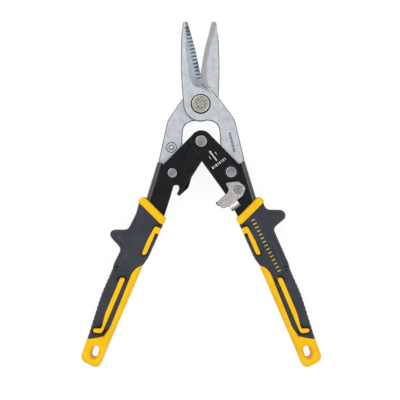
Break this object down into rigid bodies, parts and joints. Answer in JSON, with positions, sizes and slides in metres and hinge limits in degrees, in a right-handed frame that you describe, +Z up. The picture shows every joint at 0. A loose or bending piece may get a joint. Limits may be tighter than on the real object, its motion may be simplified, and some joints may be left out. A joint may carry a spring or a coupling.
{
  "type": "aviation snips",
  "caption": "Straight-cut compound-action sheet metal snips with serrated upper jaw, nested channel handles, hook latch and two-tone moulded grips with guard horns.",
  "frame": {"origin": "centre of the part box in X and Y, at the level of the surface that the grips lie on", "axes": "+Y from the grips to the blade tips, +X to the right handle with the latch, +Z up through the thickness"},
  "size_m": [0.1678, 0.2423, 0.0226],
  "materials": {
    "forged_steel": "satin nickel-plated forging with ground bevels",
    "fastener_steel": "warm satin plating",
    "washer_steel": "plain zinc plating",
    "black_steel": "black satin coating",
    "pin_steel": "turned and peened steel",
    "bushing_brass": "turned bronze",
    "spring_steel": "oiled spring wire",
    "ring_plastic": "black matte",
    "latch_steel": "zinc plated stamping",
    "grip_core": "yellow moulded plastic, satin gloss",
    "grip_cover": "dark grey soft overmould, matte"
  },
  "bodies": {
    "right_handle": {"right_handle_frame": "black_steel", "handle_pivot_pin": "pin_steel", "handle_pivot_bushing": "bushing_brass", "handle_pivot_washers": "washer_steel", "return_spring": "spring_steel", "right_jaw_pin": "pin_steel", "right_jaw_pin_ring": "ring_plastic", "right_arm_spacers": "washer_steel", "latch_rivet": "pin_steel", "latch_wave_washer": "washer_steel", "right_grip_core": "grip_core", "right_grip_cover": "grip_cover"},
    "left_handle": {"left_handle_frame": "black_steel", "left_jaw_pin": "pin_steel", "left_arm_spacer": "washer_steel", "left_grip_core": "grip_core", "left_grip_cover": "grip_cover"},
    "front_jaw": {"front_jaw": "forged_steel", "pivot_bolt": "fastener_steel", "pivot_nut": "fastener_steel", "pivot_lock_washer": "washer_steel"},
    "back_jaw": {"back_jaw": "forged_steel"},
    "latch": {"latch": "latch_steel"}
  },
  "joints": [
    {"name": "handle_pivot", "type": "hinge", "parent": "right_handle", "child": "left_handle", "pos_m": [0, 0.0367, 0.01], "axis": [0, 0, 1], "range_deg": [0, 41], "stiffness_Nm_per_rad": 0.6, "springref_deg": -34.38, "deforming": ["return_spring"]},
    {"name": "front_jaw_pivot", "type": "hinge", "parent": "right_handle", "child": "front_jaw", "pos_m": [0.02078, 0.01517, 0.01], "axis": [0, 0, 1], "range_deg": [0, 10.5]},
    {"name": "back_jaw_pivot", "type": "hinge", "parent": "left_handle", "child": "back_jaw", "pos_m": [-0.02021, 0.01464, 0.01], "axis": [0, 0, 1], "range_deg": [-10.5, 0]},
    {"name": "latch_pivot", "type": "hinge", "parent": "right_handle", "child": "latch", "pos_m": [0.02556, 0.0031, 0.0195], "axis": [0, 0, 1], "range_deg": [-24, 0]}
  ],
  "couplings": [
    {"joint": "front_jaw_pivot", "follows": "handle_pivot", "ratio": 0.2526},
    {"joint": "back_jaw_pivot", "follows": "handle_pivot", "ratio": -0.2526}
  ]
}
